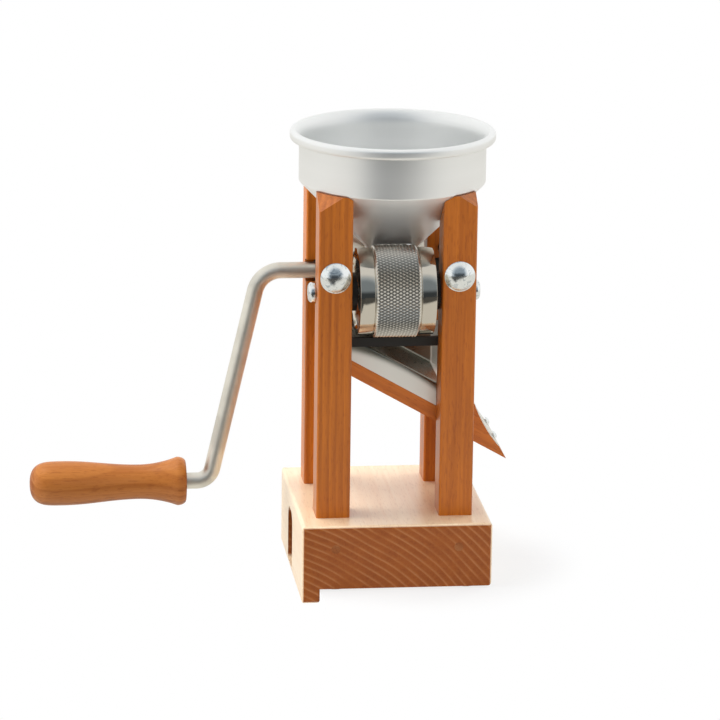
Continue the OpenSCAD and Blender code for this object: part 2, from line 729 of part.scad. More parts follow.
// The sheet's section: outside from the spout up to the rolled bead, then the flared mouth's inside
function hopper_section() =
    let (
        wall = wall_d / 2,
        spout = spout_d / 2,
        rim = wall + rim_out,
        mouth = [wall + mouth_out, rim_z + rim_h],
        throat = [wall - hopper_t, rim_z - flare_drop],
        lean = atan2(mouth[0] - throat[0], mouth[1] - throat[1]),
        flare = bow(mouth, throat, -norm(mouth - throat) / 2 * tan(lean / 2), 8),
        roll = min(0.7 * (rim - mouth[0]), 0.42 * rim_h)
    )
    rounded(
        concat([[spout, axis_z + tongue_h], [spout, spout_z], [wall, shoulder_z], [wall, rim_z],
                [rim, rim_z], [rim, mouth[1]]],
            flare,
            [[wall - hopper_t, shoulder_z + inner_lift], [spout - hopper_t, spout_z + inner_lift],
                [spout - hopper_t, axis_z + tongue_h]]),
        concat([0, sheet_bend, sheet_bend, fine_edge, roll, roll, fine_edge],
            [for (k = [2:len(flare)]) 0],
            [sheet_bend, sheet_bend, 0]));

base_block();
foot_pads();
front_left_post();
front_right_post();
back_left_post();
back_right_post();
tenon_pegs();
chute_board();
chute_dowels();
chute_liner();
liner_screws();
carriage_bolts();
bolt_washers();
left_wing_nut();
right_wing_nut();
front_left_bush();
front_right_bush();
back_left_bush();
back_right_bush();
roller_wipers();
front_axle();
front_axle_caps();
front_roller();
front_knurl();
crank_bar();
shaft_cap();
rear_roller();
rear_knurl();
grip_ring();
crank_grip();
hopper();
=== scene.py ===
import math

import bmesh
import bpy
from mathutils import Matrix, Vector


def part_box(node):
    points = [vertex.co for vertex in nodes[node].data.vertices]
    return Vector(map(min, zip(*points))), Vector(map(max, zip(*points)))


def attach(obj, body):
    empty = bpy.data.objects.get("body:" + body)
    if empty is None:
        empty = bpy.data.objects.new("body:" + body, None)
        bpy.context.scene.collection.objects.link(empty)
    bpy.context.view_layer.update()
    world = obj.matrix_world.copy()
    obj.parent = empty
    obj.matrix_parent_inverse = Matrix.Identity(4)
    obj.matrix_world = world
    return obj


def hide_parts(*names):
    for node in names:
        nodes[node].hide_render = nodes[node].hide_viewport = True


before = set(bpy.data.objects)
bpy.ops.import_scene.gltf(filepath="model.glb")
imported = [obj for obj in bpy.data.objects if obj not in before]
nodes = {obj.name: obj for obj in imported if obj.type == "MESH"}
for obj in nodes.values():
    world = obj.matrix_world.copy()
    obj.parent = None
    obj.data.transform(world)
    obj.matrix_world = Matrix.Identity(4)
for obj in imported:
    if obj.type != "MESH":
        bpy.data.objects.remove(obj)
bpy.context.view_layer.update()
scene = bpy.context.scene
scene.view_settings.view_transform = "Standard"


# ---- Camera
# A long lens from the front left, a little above the hopper's rim, fitted to the photograph's
# own vanishing lines. The picture is square, and the lens is given for a 36 mm wide sensor.
def place_camera():
    azimuth, elevation, roll = (math.radians(a) for a in (-6.75, 15.08, 0.76))
    target, distance = Vector((-0.0183, 0, 0.13878)), 2.9142
    back = Vector((math.sin(azimuth) * math.cos(elevation), -math.cos(azimuth) * math.cos(elevation),
                   math.sin(elevation)))
    right = Vector((0, 0, 1)).cross(back).normalized()
    up = back.cross(right)
    turned_right = right * math.cos(roll) + up * math.sin(roll)
    turned_up = up * math.cos(roll) - right * math.sin(roll)
    lens = bpy.data.cameras.new("camera")
    lens.sensor_width, lens.lens = 36, 4346.9 / 720 * 36
    lens.clip_start, lens.clip_end = 0.1, 30
    camera = bpy.data.objects.new("camera", lens)
    scene.collection.objects.link(camera)
    camera.matrix_world = Matrix.Translation(target + back * distance) @ Matrix(
        (turned_right, turned_up, back)).transposed().to_4x4()
    scene.camera = camera


place_camera()


# ---- Stage
# A plain pale table top whose edge the lip hooks over, and a plain pale ground far below it.
# The world is white round the object and dark where a dim room would be, in front of it.
def add(tree, kind, *args, settings=None, **inputs):
    """Adds a shader node; args fill its sockets in order and inputs fill them by name."""
    node = tree.nodes.new("ShaderNode" + kind)
    for key, value in (settings or {}).items():
        setattr(node, key, value)
    filled = [(node.inputs[i], value) for i, value in enumerate(args)]
    filled += [(node.inputs[key.replace("_", " ")], value) for key, value in inputs.items()]
    for socket, value in filled:
        if isinstance(value, bpy.types.NodeSocket):
            tree.links.new(value, socket)
        elif value is not None:
            socket.default_value = value
    return node


def math_node(tree, operation, *args):
    return add(tree, "Math", *args, settings={"operation": operation}).outputs[0]


def fade(tree, value, low, high, to_low=0.0, to_high=1.0):
    """A smooth step from to_low at low to to_high at high."""
    node = add(tree, "MapRange", value, low, high, to_low, to_high,
               settings={"interpolation_type": "SMOOTHSTEP"})
    return node.outputs[0]


def box_mesh(bm, low, high):
    """Adds a box between two corners and returns its vertices."""
    low, high = Vector(low), Vector(high)
    place = Matrix.Translation((low + high) / 2) @ Matrix.Diagonal((*(high - low), 1))
    return bmesh.ops.create_cube(bm, size=1, matrix=place)["verts"]


def set_stage():
    world = bpy.data.worlds.new("studio")
    scene.world = world
    world.use_nodes = True
    tree = world.node_tree
    tree.nodes.clear()
    ray = add(tree, "LightPath")
    way = add(tree, "SeparateXYZ", add(tree, "TexCoord").outputs["Generated"])
    forward = math_node(tree, "SUBTRACT", way.outputs["Y"], math_node(tree, "MULTIPLY", way.outputs["Z"], 0.25))
    outside = fade(tree, forward, -0.95, -0.7)
    bright = math_node(tree, "MULTIPLY", outside, fade(tree, way.outputs["Z"], 0.4, 0.8, 1.0, 0.9))
    room = math_node(tree, "MULTIPLY", fade(tree, outside, 0, 1, 1, 0),
                     fade(tree, way.outputs["Z"], 0.1, 0.3, 0.06, 0.3))
    round_object = math_node(tree, "ADD", bright, room)
    strength = add(tree, "Mix", Factor=ray.outputs["Is Glossy Ray"])
    tree.links.new(math_node(tree, "MULTIPLY", round_object, 0.55), strength.inputs[2])
    tree.links.new(round_object, strength.inputs[3])
    seen = add(tree, "Mix", Factor=ray.outputs["Is Camera Ray"])
    tree.links.new(strength.outputs[0], seen.inputs[2])
    seen.inputs[3].default_value = 1
    lit = math_node(tree, "MAXIMUM", outside, ray.outputs["Is Camera Ray"])
    tint = add(tree, "Mix", Factor=lit, settings={"data_type": "RGBA"})
    tint.inputs[6].default_value = (0.85, 1.0, 1.15, 1)
    tint.inputs[7].default_value = (1, 1, 1, 1)
    sky = add(tree, "Background", Color=tint.outputs[2], Strength=seen.outputs[0])
    add(tree, "OutputWorld", sky.outputs[0])

    pale = bpy.data.materials.new("pale_table")
    pale.use_nodes = True
    tree = pale.node_tree
    tree.nodes.clear()
    ray = add(tree, "LightPath")
    place = add(tree, "TexCoord").outputs["Object"]
    spot = add(tree, "SeparateXYZ", place)
    aside = math_node(tree, "MULTIPLY", math_node(tree, "ABSOLUTE", spot.outputs["X"]), 0.8)
    near = fade(tree, math_node(tree, "ADD", spot.outputs["Y"], aside), -0.65, -0.45, 0.07, 0.78)
    away = add(tree, "VectorMath", place, settings={"operation": "LENGTH"}).outputs["Value"]
    plain_white = math_node(tree, "MAXIMUM", fade(tree, away, 0.095, 0.14, 0.75, 1.0),
                            fade(tree, spot.outputs["Z"], -0.001, 0.0, 1.0, 0.0))
    glow = add(tree, "Mix", Factor=ray.outputs["Is Camera Ray"])
    tree.links.new(near, glow.inputs[2])
    glow.inputs[3].default_value = 1
    tint = add(tree, "Mix", Factor=ray.outputs["Is Camera Ray"], settings={"data_type": "RGBA"})
    tint.inputs[6].default_value = (1, 0.97, 0.90, 1)
    tint.inputs[7].default_value = (1, 1, 1, 1)
    light = add(tree, "Emission", Color=tint.outputs[2], Strength=glow.outputs[0])
    matte = add(tree, "BsdfDiffuse", Color=(0.8, 0.8, 0.8, 1))
    share = add(tree, "Mix", Factor=ray.outputs["Is Camera Ray"])
    tree.links.new(math_node(tree, "MULTIPLY", ray.outputs["Is Glossy Ray"], 0.97), share.inputs[2])
    tree.links.new(plain_white, share.inputs[3])
    mixed = add(tree, "MixShader", share.outputs[0], matte.outputs[0], light.outputs[0])
    add(tree, "OutputMaterial", mixed.outputs[0])

    lip_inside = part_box("base_block")[0].x + 0.0122
    for name, low, high in (("table_top", (lip_inside, -4, -0.03), (4, 4, 0)),
                            ("ground", (-6, -6, -0.46), (6, 6, -0.45))):
        bm = bmesh.new()
        box_mesh(bm, low, high)
        mesh = bpy.data.meshes.new(name)
        bm.to_mesh(mesh)
        bm.free()
        mesh.materials.append(pale)
        slab = bpy.data.objects.new(name, mesh)
        scene.collection.objects.link(slab)

    for name, place, size, power, mirrored in (
            ("key", (-0.7, 0.35, 1.75), 1.0, 26, False),
            ("side", (-1.7, -0.1, 0.5), 0.8, 12, False),
            ("fill", (0.3, -2.3, 1.0), 1.2, 22, False),
            ("rim", (1.3, 0.9, 1.3), 0.8, 11, False)):
        lamp = bpy.data.lights.new(name, "AREA")
        lamp.size, lamp.energy = size, power
        shone = bpy.data.objects.new(name, lamp)
        scene.collection.objects.link(shone)
        shone.location = place
        shone.rotation_mode = "QUATERNION"
        shone.rotation_quaternion = (Vector((0, 0, 0.17)) - Vector(place)).to_track_quat("-Z", "Y")
        shone.visible_glossy = mirrored


set_stage()


# ---- Base block, posts and chute board
# Planed and oiled beech. The block's grain runs from front to back, so its front shows end
# grain and slanting year rings; the posts stand with the grain and are glued into mortises.
def group(name, inputs, outputs):
    """An empty shader node group with named sockets, each given as (name, kind, default)."""
    tree = bpy.data.node_groups.new(name, "ShaderNodeTree")
    for label, kind, default in inputs:
        socket = tree.interface.new_socket(label, in_out="INPUT", socket_type="NodeSocket" + kind)
        if default is not None:
            socket.default_value = default
    for label, kind in outputs:
        tree.interface.new_socket(label, in_out="OUTPUT", socket_type="NodeSocket" + kind)
    return tree, tree.nodes.new("NodeGroupInput"), tree.nodes.new("NodeGroupOutput")


def make_beech_grain():
    """Solid beech round a pith on the Z axis: year rings, fibres and short dark flecks."""
    tree, given, out = group(
        "beech_grain",
        [("Vector", "Vector", None), ("Pale", "Color", None), ("Dark", "Color", None),
         ("End", "Color", None), ("End Mask", "Float", 0.0), ("Pitch", "Float", 0.004),
         ("Rings", "Float", 0.5), ("Flecks", "Float", 0.5)],
        [("Color", "Color"), ("Roughness", "Float"), ("Height", "Float")])
    place = given.outputs["Vector"]
    slow = add(tree, "Mapping", Vector=place, Scale=(9, 9, 3))
    wander = add(tree, "TexNoise", Vector=slow.outputs[0], Scale=1.0, Detail=2.0)
    shift = add(tree, "VectorMath", wander.outputs["Color"], (0.5, 0.5, 0.5),
                settings={"operation": "SUBTRACT"})
    sway = add(tree, "VectorMath", shift.outputs[0], settings={"operation": "SCALE"}, Scale=0.014)
    bent = add(tree, "VectorMath", place, sway.outputs[0], settings={"operation": "ADD"})
    flat = add(tree, "VectorMath", bent.outputs[0], (1, 1, 0), settings={"operation": "MULTIPLY"})
    radius = add(tree, "VectorMath", flat.outputs[0], settings={"operation": "LENGTH"}).outputs["Value"]
    year = math_node(tree, "FRACT", math_node(tree, "DIVIDE", radius, given.outputs["Pitch"]))
    late = math_node(tree, "MULTIPLY", fade(tree, year, 0.1, 0.85), fade(tree, year, 0.88, 1.0, 1.0, 0.0))

    fibre_map = add(tree, "Mapping", Vector=place, Scale=(520, 520, 14))
    fibre = add(tree, "TexNoise", Vector=fibre_map.outputs[0], Scale=1.0, Detail=3.0).outputs[0]
    band_map = add(tree, "Mapping", Vector=place, Scale=(110, 110, 3.5))
    band = add(tree, "TexNoise", Vector=band_map.outputs[0], Scale=1.0, Detail=2.0).outputs[0]
    fleck_map = add(tree, "Mapping", Vector=place, Scale=(1150, 1150, 150))
    fleck = add(tree, "TexNoise", Vector=fleck_map.outputs[0], Scale=1.0, Detail=1.0).outputs[0]
    flecks = math_node(tree, "MULTIPLY", fade(tree, fleck, 0.56, 0.7), given.outputs["Flecks"])

    streaks = math_node(tree, "ADD", fade(tree, fibre, 0.3, 0.7, 0.0, 0.45), fade(tree, band, 0.3, 0.7, 0.0, 0.55))
    ringed = math_node(tree, "MULTIPLY", late, given.outputs["Rings"])
    amount = math_node(tree, "ADD", math_node(tree, "MULTIPLY", streaks, 0.62), ringed)
    bright_map = add(tree, "Mapping", Vector=place, Scale=(38, 38, 5))
    clump = add(tree, "TexNoise", Vector=bright_map.outputs[0], Scale=1.0, Detail=1.0).outputs[0]
    early = math_node(tree, "MULTIPLY", fade(tree, year, 0.0, 0.12), fade(tree, year, 0.12, 0.45, 1.0, 0.0))
    early = math_node(tree, "MULTIPLY", early, fade(tree, clump, 0.35, 0.6))
    side = add(tree, "Mix", Factor=amount, settings={"data_type": "RGBA"})
    tree.links.new(given.outputs["Pale"], side.inputs[6])
    tree.links.new(given.outputs["Dark"], side.inputs[7])
    end_tone = add(tree, "Mix", Factor=amount, settings={"data_type": "RGBA", "blend_type": "MULTIPLY"})
    tree.links.new(given.outputs["End"], end_tone.inputs[6])
    end_tone.inputs[7].default_value = (0.72, 0.62, 0.5, 1)
    end_lit = add(tree, "Mix", Factor=math_node(tree, "MULTIPLY", early, 0.3), settings={"data_type": "RGBA"})
    tree.links.new(end_tone.outputs[2], end_lit.inputs[6])
    end_lit.inputs[7].default_value = (0.60, 0.29, 0.12, 1)
    wood = add(tree, "Mix", Factor=given.outputs["End Mask"], settings={"data_type": "RGBA"})
    tree.links.new(side.outputs[2], wood.inputs[6])
    tree.links.new(end_lit.outputs[2], wood.inputs[7])
    flecked = add(tree, "Mix", Factor=flecks, settings={"data_type": "RGBA", "blend_type": "MULTIPLY"})
    tree.links.new(wood.outputs[2], flecked.inputs[6])
    flecked.inputs[7].default_value = (0.62, 0.48, 0.36, 1)
    tree.links.new(flecked.outputs[2], out.inputs["Color"])
    tree.links.new(fade(tree, fibre, 0.2, 0.8, 0.42, 0.6), out.inputs["Roughness"])
    height = math_node(tree, "SUBTRACT", fibre, math_node(tree, "MULTIPLY", flecks, 0.6))
    tree.links.new(height, out.inputs["Height"])
    return tree


beech_grain = make_beech_grain()


def beech(name, pale, dark, end, pith, turn, pitch=0.0045, rings=0.3, flecks=0.5, gloss=0.25, coat=0.6):
    """Beech whose pith passes through the point pith; turn lays the grain's way on Z."""
    wood = bpy.data.materials.new(name)
    wood.use_nodes = True
    tree = wood.node_tree
    tree.nodes.clear()
    spot = add(tree, "TexCoord")
    from_pith = add(tree, "VectorMath", spot.outputs["Object"], pith, settings={"operation": "SUBTRACT"})
    laid = add(tree, "Mapping", Vector=from_pith.outputs[0], Rotation=turn)
    facing = add(tree, "Mapping", Vector=spot.outputs["Normal"], Rotation=turn)
    along = add(tree, "SeparateXYZ", facing.outputs[0]).outputs["Z"]
    ends = fade(tree, math_node(tree, "ABSOLUTE", along), 0.68, 0.92)
    grain = add(tree, "Group", settings={"node_tree": beech_grain}, Vector=laid.outputs[0], Pale=(*pale, 1),
                Dark=(*dark, 1), End=(*end, 1), End_Mask=ends, Pitch=pitch, Rings=rings, Flecks=flecks)
    bump = add(tree, "Bump", Strength=0.25, Distance=0.0002, Height=grain.outputs["Height"])
    shade = add(tree, "BsdfPrincipled", Base_Color=grain.outputs["Color"], Roughness=grain.outputs["Roughness"],
                Normal=bump.outputs[0], Specular_IOR_Level=gloss, Coat_Roughness=0.3,
                Coat_Weight=fade(tree, ends, 0.0, 1.0, coat, 0.3 * coat))
    add(tree, "OutputMaterial", shade.outputs[0])
    return wood


def dress(node, finish):
    """Gives a CAD node's own mesh a finish."""
    mesh = nodes[node].data
    mesh.materials.clear()
    mesh.materials.append(finish)


ALONG_X, ALONG_Y, ALONG_Z = (0, -math.pi / 2, 0), (math.pi / 2, 0, 0), (0, 0, 0)
# The block's end-grain colour is far darker than its pale side grain, so its front renders dark against the top.
# This is partly real end grain and partly painted shade.
block_beech = beech("block_beech", (0.96, 0.76, 0.52), (0.89, 0.64, 0.41), (0.335, 0.086, 0.008),
                    pith=(-0.15, 0, -0.17), turn=ALONG_Y, pitch=0.0048, rings=0.25, flecks=0.25, coat=1.0)
dress("base_block", block_beech)
for post, tone, pith in (("front_left_post", 0.94, (-0.15, -0.02, 0)), ("front_right_post", 1.0, (0.033, -0.17, 0)),
                         ("back_left_post", 1.4, (-0.1, 0.2, 0)), ("back_right_post", 1.15, (0.2, 0.1, 0))):
    pale, dark, end = (tuple(tone * c for c in colour) for colour in
                       ((0.57, 0.158, 0.005), (0.27, 0.055, 0.001), (0.34, 0.09, 0.008)))
    dress(post, beech("beech_" + post, pale, dark, end, pith=pith, turn=ALONG_Z, rings=0.25, flecks=0.4))
board_slope = math.radians(29.4)
dress("chute_board", beech("beech_chute_board", (0.56, 0.150, 0.008), (0.36, 0.08, 0.002), (0.30, 0.10, 0.01),
                           pith=(0, -0.2, 0.3), turn=(0, -math.pi / 2 - board_slope, 0), rings=0.25))
peg_end = beech("beech_pegs", (0.32, 0.10, 0.02), (0.22, 0.07, 0.014), (0.27, 0.075, 0.012),
                pith=(0.1, 0, 0.1), turn=ALONG_Y, pitch=0.03, rings=0.2)
dress("tenon_pegs", peg_end)
dress("chute_dowels", peg_end)


# ---- Foot pads
# Four dark rubber discs glued under the block, so that the clamp can hold it without slip.
def plain(name, colour, roughness, grain=900, depth=0.00012):
    """A matte moulded surface with a fine pitted grain."""
    cover = bpy.data.materials.new(name)
    cover.use_nodes = True
    tree = cover.node_tree
    tree.nodes.clear()
    pits = add(tree, "TexNoise", Vector=add(tree, "TexCoord").outputs["Object"], Scale=float(grain), Detail=2.0)
    tint = add(tree, "Mix", Factor=pits.outputs[0], settings={"data_type": "RGBA"})
    tint.inputs[6].default_value = (*[0.8 * c for c in colour], 1)
    tint.inputs[7].default_value = (*[1.2 * c for c in colour], 1)
    bump = add(tree, "Bump", Strength=0.4, Distance=depth, Height=pits.outputs[0])
    shade = add(tree, "BsdfPrincipled", Base_Color=tint.outputs[2], Normal=bump.outputs[0],
                Roughness=fade(tree, pits.outputs[0], 0.2, 0.8, roughness - 0.08, roughness + 0.08))
    add(tree, "OutputMaterial", shade.outputs[0])
    return cover


dress("foot_pads", plain("pad_rubber", (0.10, 0.075, 0.055), 0.7))


# ---- Bushes
# Flanged bushes of black plastic, pressed into half round notches of the posts.
bush_plastic = plain("bush_plastic", (0.010, 0.008, 0.006), 0.5, grain=1500, depth=0.00005)
for bush in ("front_left_bush", "front_right_bush", "back_left_bush", "back_right_bush"):
    dress(bush, bush_plastic)


# ---- Wiper strips
# Two black strips let into the posts just below the rollers, which wipe flakes off the bands.
dress("roller_wipers", bush_plastic)


# ---- Rollers and knurled bands
# Steel rollers, ground and polished beside a band with a rolled diamond knurl. The band
# stands out from the flanks, and a narrow bevelled ring stands between band and flank.
def make_turning_marks():
    """Fine rings round an axis: differs along the axis and along the radius only."""
    tree, given, out = group(
        "turning_marks",
        [("Along", "Float", 0.0), ("Radius", "Float", 0.0), ("Scale", "Float", 3000.0), ("Smears", "Float", 60.0)],
        [("Value", "Float"), ("Blotches", "Float")])
    where = add(tree, "CombineXYZ", given.outputs["Along"], given.outputs["Radius"], 0.0)
    lines = add(tree, "TexNoise", Vector=where.outputs[0], Scale=given.outputs["Scale"], Detail=2.0)
    smears = add(tree, "TexNoise", Vector=where.outputs[0], Scale=given.outputs["Smears"], Detail=2.0)
    tree.links.new(lines.outputs[0], out.inputs["Value"])
    tree.links.new(smears.outputs[0], out.inputs["Blotches"])
    return tree


turning_marks = make_turning_marks()


def turned_metal(name, colour, roughness, axis, centre, depth=0.00002, marks=2500.0, spread=0.06, valley_shade=None,
                 metallic=1.0):
    """Metal with fine turning marks round an axis ("X", "Y" or "Z") through centre. A valley (radius, radius, half
    width, share) paints shade into a knurl's grooves: the tone falls to share at the lower radius, within the half
    width along the axis."""
    metal = bpy.data.materials.new(name)
    metal.use_nodes = True
    tree = metal.node_tree
    tree.nodes.clear()
    spot = add(tree, "VectorMath", add(tree, "TexCoord").outputs["Object"], centre,
               settings={"operation": "SUBTRACT"})
    across = tuple(0 if letter == axis else 1 for letter in "XYZ")
    flat = add(tree, "VectorMath", spot.outputs[0], across, settings={"operation": "MULTIPLY"})
    radius = add(tree, "VectorMath", flat.outputs[0], settings={"operation": "LENGTH"}).outputs["Value"]
    along = add(tree, "SeparateXYZ", spot.outputs[0]).outputs[axis]
    turned = add(tree, "Group", settings={"node_tree": turning_marks}, Along=along, Radius=radius, Scale=marks)
    bump = add(tree, "Bump", Strength=0.3, Distance=depth, Height=turned.outputs["Value"])
    tint = add(tree, "Mix", Factor=turned.outputs["Blotches"], settings={"data_type": "RGBA"})
    tint.inputs[6].default_value = (*[0.9 * c for c in colour], 1)
    tint.inputs[7].default_value = (*[min(1, 1.08 * c) for c in colour], 1)
    rough = fade(tree, turned.outputs["Value"], 0.25, 0.75, roughness - spread / 2, roughness + spread / 2)
    colour_out = tint.outputs[2]
    # Painted shade in the grooves: the colour darkens towards the lower radius.
    if valley_shade:
        tone = fade(tree, radius, valley_shade[0], valley_shade[1], valley_shade[3], 1.0)
        aside = math_node(tree, "ABSOLUTE", along)
        tone = math_node(tree, "MAXIMUM", tone, fade(tree, aside, valley_shade[2] - 0.0003, valley_shade[2]))
        shaded = add(tree, "VectorMath", colour_out, settings={"operation": "SCALE"}, Scale=tone)
        colour_out = shaded.outputs[0]
    shade = add(tree, "BsdfPrincipled", Base_Color=colour_out, Metallic=metallic, Roughness=rough,
                Normal=bump.outputs[0])
    add(tree, "OutputMaterial", shade.outputs[0])
    return metal


def turned(profile, centre, axis, steps=96):
    """Spins a profile of (place along the axis, radius) in millimetres round an axis."""
    bm = bmesh.new()
    centre, axis = Vector(centre), Vector(axis).normalized()
    out = axis.orthogonal().normalized()
    corners = [bm.verts.new(centre + axis * s * 0.001 + out * r * 0.001) for s, r in profile]
    edges = [bm.edges.new(pair) for pair in zip(corners, corners[1:])]
    bmesh.ops.spin(bm, geom=corners + edges, cent=centre, axis=axis, angle=math.tau, steps=steps,
                   use_merge=True)
    bmesh.ops.remove_doubles(bm, verts=bm.verts, dist=1e-6)
    return bm


def ease(bm, width, segments=3, sharper=35, limit=180):
    """Bevels every edge that is sharper than an angle, by a width in millimetres."""
    sharp = [e for e in bm.edges if len(e.link_faces) == 2
             and sharper < math.degrees(e.calc_face_angle(0)) < limit]
    bmesh.ops.bevel(bm, geom=sharp, offset=width * 0.001, segments=segments, affect="EDGES", profile=0.5,
                    clamp_overlap=True, material=-1)


def piece(bm, name, finish, body, slot, *stands_for, crease=38):
    """Makes a mesh a piece that rides on a body and stands for CAD nodes."""
    bmesh.ops.recalc_face_normals(bm, faces=bm.faces)
    for face in bm.faces:
        face.smooth = True
    for edge in bm.edges:
        edge.smooth = len(edge.link_faces) == 2 and math.degrees(edge.calc_face_angle(0)) < crease
    mesh = bpy.data.meshes.new(name)
    bm.to_mesh(mesh)
    bm.free()
    mesh.materials.append(finish)
    made = bpy.data.objects.new(name, mesh)
    scene.collection.objects.link(made)
    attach(made, body)
    if stands_for:
        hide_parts(*stands_for)
    return made


def middle(node):
    low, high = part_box(node)
    return (low + high) / 2


def make_roller(side, body, bore):
    low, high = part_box(side + "_roller")
    centre = middle(side + "_roller")
    end, radius = (high.x - low.x) * 500, (high.z - low.z) * 500
    band = (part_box(side + "_knurl")[1].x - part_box(side + "_knurl")[0].x) * 500
    half = [(0, bore / 2), (end - 2.2, bore / 2), (end - 2.2, bore / 2 + 2.5), (end - 0.9, bore / 2 + 3.5),
            (end - 0.9, radius - 5), (end, radius - 4), (end, radius)]
    outline = [(-s, r) for s, r in reversed(half)][:-1] + half[1:]
    groove = [(end, radius), (band + 0.9, radius), (band + 0.7, radius - 0.5), (band + 0.1, radius - 0.5),
              (band, radius), (-band, radius), (-band - 0.1, radius - 0.5), (-band - 0.7, radius - 0.5),
              (-band - 0.9, radius), (-end, radius)]
    bm = turned(outline + groove[1:], centre, (1, 0, 0), steps=128)
    ease(bm, 0.9, segments=3, sharper=60)
    steel = turned_metal(side + "_flank_steel", (0.64, 0.60, 0.52), 0.08, "X", centre, depth=0.000008)
    piece(bm, side + "_roller_core", steel, body, "roller_steel", side + "_roller")
    point = (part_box(side + "_knurl")[1].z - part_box(side + "_knurl")[0].z) / 2
    # The knurl gets painted shade in its grooves, which darkens to 0.36 of its colour towards their bottoms.
    dress(side + "_knurl", turned_metal(side + "_knurl_steel", (0.76, 0.73, 0.66), 0.3, "X", centre,
                                        valley_shade=(point - 0.0008, point - 0.0001, 0.0137, 0.36)))


make_roller("front", "idler", 8)
make_roller("rear", "crank", 11)


# ---- Front axle and caps
# A ground steel pin through the front roller, held by a domed sheet cap on each end.
def plated(name, pale, dark):
    """Zinc plate on a forged surface: bright and bluish, with a mottled, slightly uneven skin."""
    metal = bpy.data.materials.new(name)
    metal.use_nodes = True
    tree = metal.node_tree
    tree.nodes.clear()
    spot = add(tree, "TexCoord").outputs["Object"]
    dents = add(tree, "TexNoise", Vector=spot, Scale=260.0, Detail=3.0).outputs[0]
    stains = add(tree, "TexNoise", Vector=spot, Scale=330.0, Detail=2.0, Distortion=0.6).outputs[0]
    tint = add(tree, "Mix", Factor=fade(tree, stains, 0.52, 0.68), settings={"data_type": "RGBA"})
    tint.inputs[6].default_value = (*pale, 1)
    tint.inputs[7].default_value = (*dark, 1)
    bump = add(tree, "Bump", Strength=0.4, Distance=0.0002, Height=dents)
    shade = add(tree, "BsdfPrincipled", Base_Color=tint.outputs[2], Metallic=1.0,
                Roughness=fade(tree, dents, 0.3, 0.7, 0.14, 0.26), Normal=bump.outputs[0])
    add(tree, "OutputMaterial", shade.outputs[0])
    return metal


bright_zinc = plated("bright_zinc", (0.84, 0.87, 0.86), (0.56, 0.61, 0.63))
dress("front_axle", turned_metal("axle_steel", (0.66, 0.64, 0.60), 0.2, "X", middle("front_axle")))


def make_caps(name, node, body, radius):
    """Domed caps on the ends of a shaft along X."""
    bm = bmesh.new()
    low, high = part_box(node)
    centre = (low + high) / 2
    ends = [high.x] if low.x > 0 else [low.x, high.x]
    for end in ends:
        way = 1 if end > 0 else -1
        dome = [(0, radius - 1.0), (-4.5, radius - 1.0), (-4.5, radius), (-2.3, radius)]
        dome += [(-2.3 + 2.3 * math.sin(a), radius - 3 + 3 * math.cos(a))
                 for a in (math.radians(d) for d in (22, 45, 68, 90))]
        dome += [(0, radius * 0.3), (0.0, 0)]
        cap = turned(dome[2:], (end, centre.y, centre.z), (way, 0, 0), steps=48)
        skirt = turned([dome[2], dome[1], (-1.2, radius - 1.0), (-1.2, 0)], (end, centre.y, centre.z),
                       (way, 0, 0), steps=48)
        for part in (cap, skirt):
            mesh = bpy.data.meshes.new("part")
            part.to_mesh(mesh)
            part.free()
            bm.from_mesh(mesh)
            bpy.data.meshes.remove(mesh)
    bmesh.ops.remove_doubles(bm, verts=bm.verts, dist=1e-6)
    piece(bm, name, bright_zinc, body, "zinc", node)


make_caps("axle_caps", "front_axle_caps", "idler", 6.7)
make_caps("shaft_end_cap", "shaft_cap", "crank", 7.5)


# ---- Crank
# One drawn steel bar, bent twice: it is the rear roller's shaft, the arm and the spindle
# of the grip. A snap ring inside the grip's far end keeps the grip on.
def drawn_metal(name, colour, roughness, way, depth=0.00003):
    """Drawn bar with long fine scratches along way and a little dull tarnish."""
    metal = bpy.data.materials.new(name)
    metal.use_nodes = True
    tree = metal.node_tree
    tree.nodes.clear()
    spot = add(tree, "TexCoord").outputs["Object"]
    drawn = add(tree, "Mapping", Vector=spot, Scale=way)
    lines = add(tree, "TexNoise", Vector=drawn.outputs[0], Scale=1.0, Detail=3.0).outputs[0]
    dull = add(tree, "TexNoise", Vector=spot, Scale=45.0, Detail=3.0).outputs[0]
    tint = add(tree, "Mix", Factor=fade(tree, dull, 0.35, 0.65), settings={"data_type": "RGBA"})
    tint.inputs[6].default_value = (*colour, 1)
    tint.inputs[7].default_value = (*[0.85 * c for c in colour], 1)
    bump = add(tree, "Bump", Strength=0.25, Distance=depth, Height=lines)
    rough = math_node(tree, "ADD", fade(tree, lines, 0.3, 0.7, roughness - 0.04, roughness + 0.04),
                      fade(tree, dull, 0.4, 0.7, 0.0, 0.06))
    shade = add(tree, "BsdfPrincipled", Base_Color=tint.outputs[2], Metallic=1.0, Roughness=rough,
                Normal=bump.outputs[0])
    add(tree, "OutputMaterial", shade.outputs[0])
    return metal


bar_steel = drawn_metal("bar_steel", (0.86, 0.83, 0.74), 0.46, (300, 900, 300))
dress("grip_ring", bar_steel)


